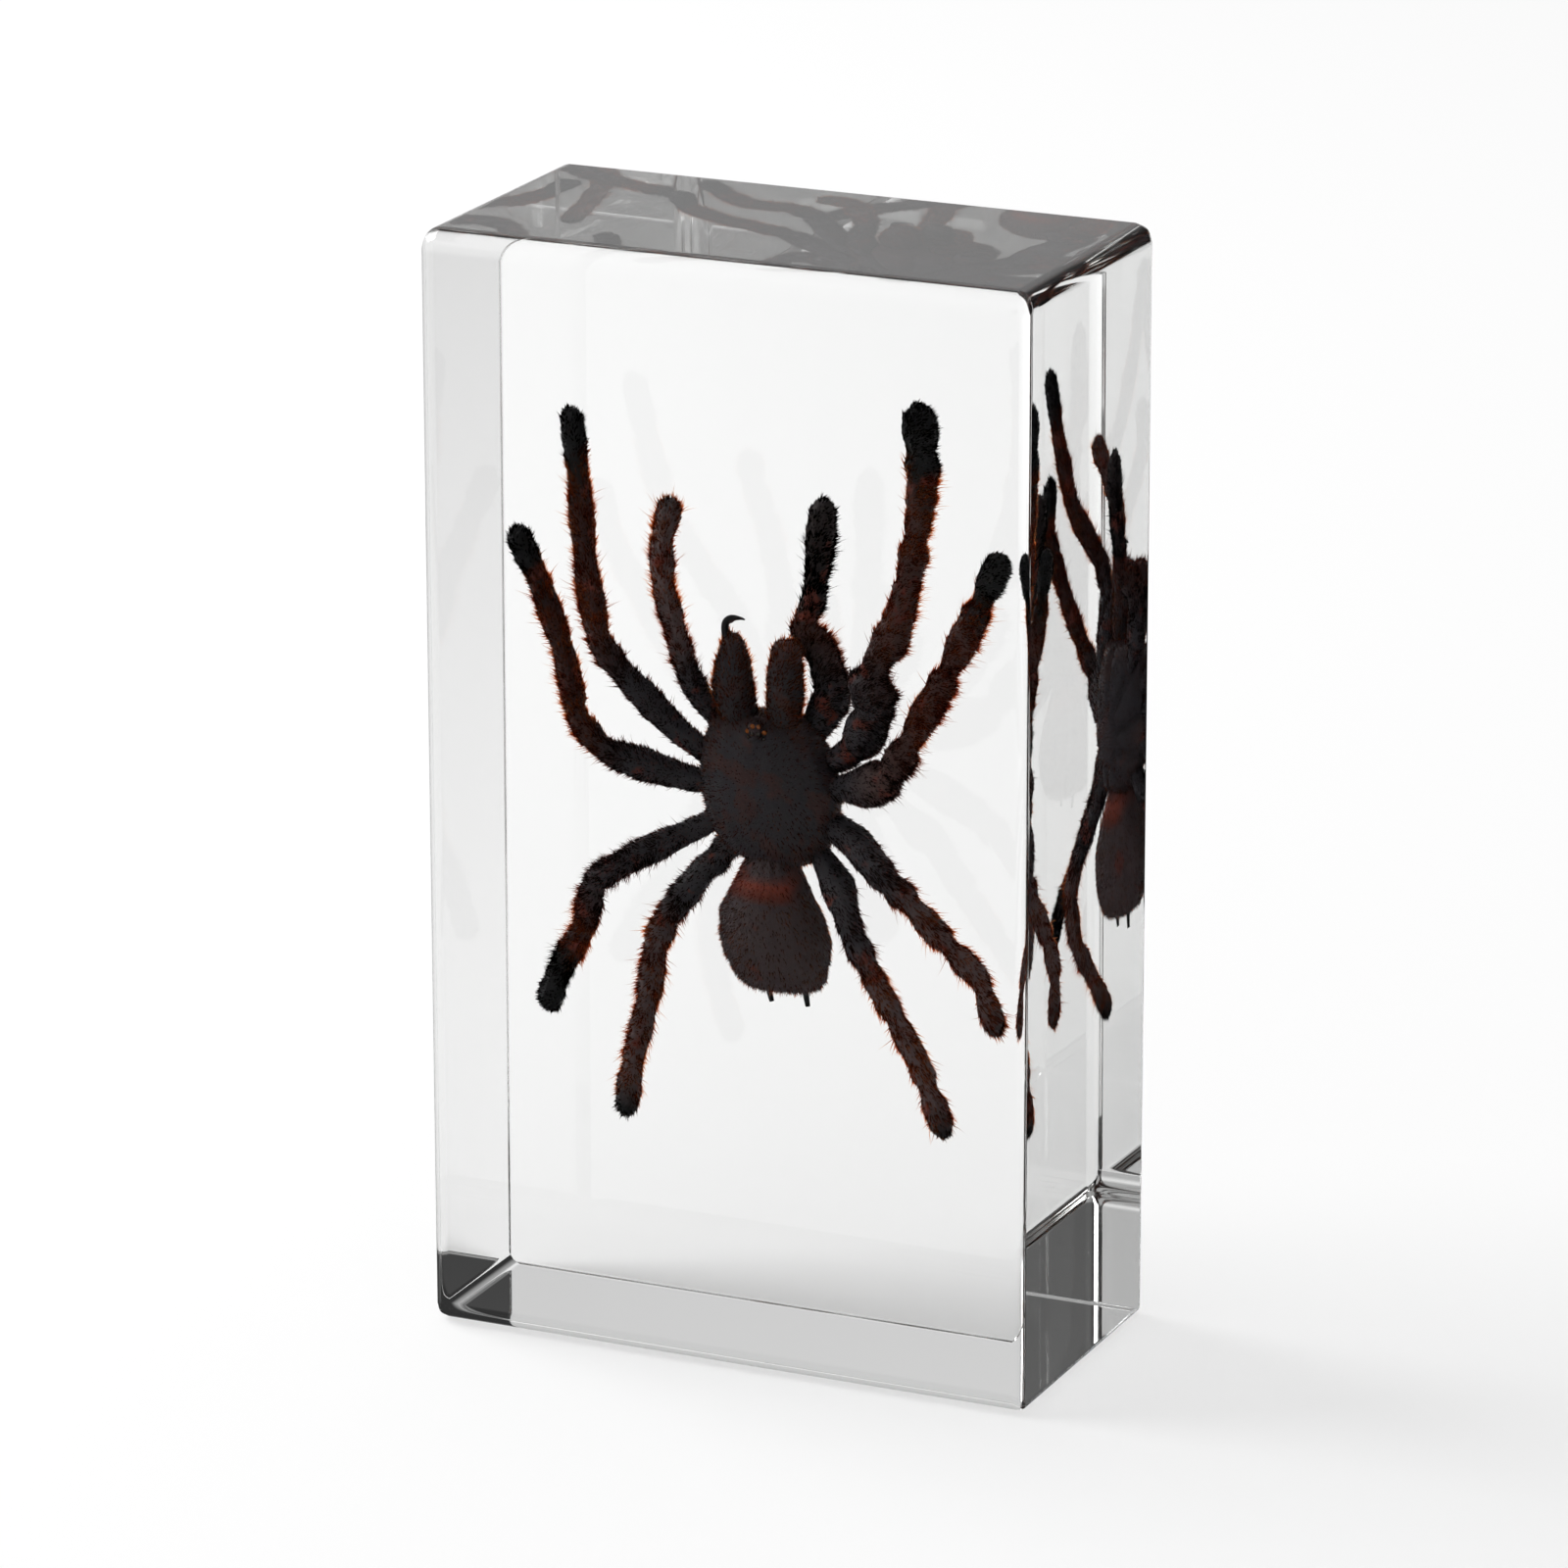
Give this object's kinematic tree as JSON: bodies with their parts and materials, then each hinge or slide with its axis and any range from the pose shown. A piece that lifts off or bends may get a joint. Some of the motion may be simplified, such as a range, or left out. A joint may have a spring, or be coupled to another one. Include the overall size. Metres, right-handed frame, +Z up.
{
  "type": "tarantula in resin block",
  "caption": "Whole tarantula with spread legs sealed upright in a clear rectangular resin block with rounded edges, standing on its narrow end.",
  "frame": {"origin": "middle of the block's base", "axes": "+Z up the block and towards the spider's head, -Y out of the front face that shows the spider's back, +X towards the spider's right legs"},
  "size_m": [0.063, 0.031, 0.11],
  "materials": {
    "resin": "clear polished cast resin",
    "cephalothorax": "near-black hard shell under a short dull pile",
    "abdomen": "near-black with red-brown bristles",
    "chelicera": "near-black with an orange-brown fringe and a dark horny fang",
    "pedipalp": "black-brown and bristly",
    "leg": "black-brown with red-brown bristles, darker at the tips"
  },
  "bodies": {
    "root": {"block_front": "resin", "block_back": "resin", "cephalothorax": "cephalothorax", "abdomen": "abdomen", "chelicera_left": "chelicera", "chelicera_right": "chelicera", "pedipalp_left": "pedipalp", "pedipalp_right": "pedipalp", "leg_left_1": "leg", "leg_left_2": "leg", "leg_left_3": "leg", "leg_left_4": "leg", "leg_right_1": "leg", "leg_right_2": "leg", "leg_right_3": "leg", "leg_right_4": "leg"}
  },
  "joints": []
}
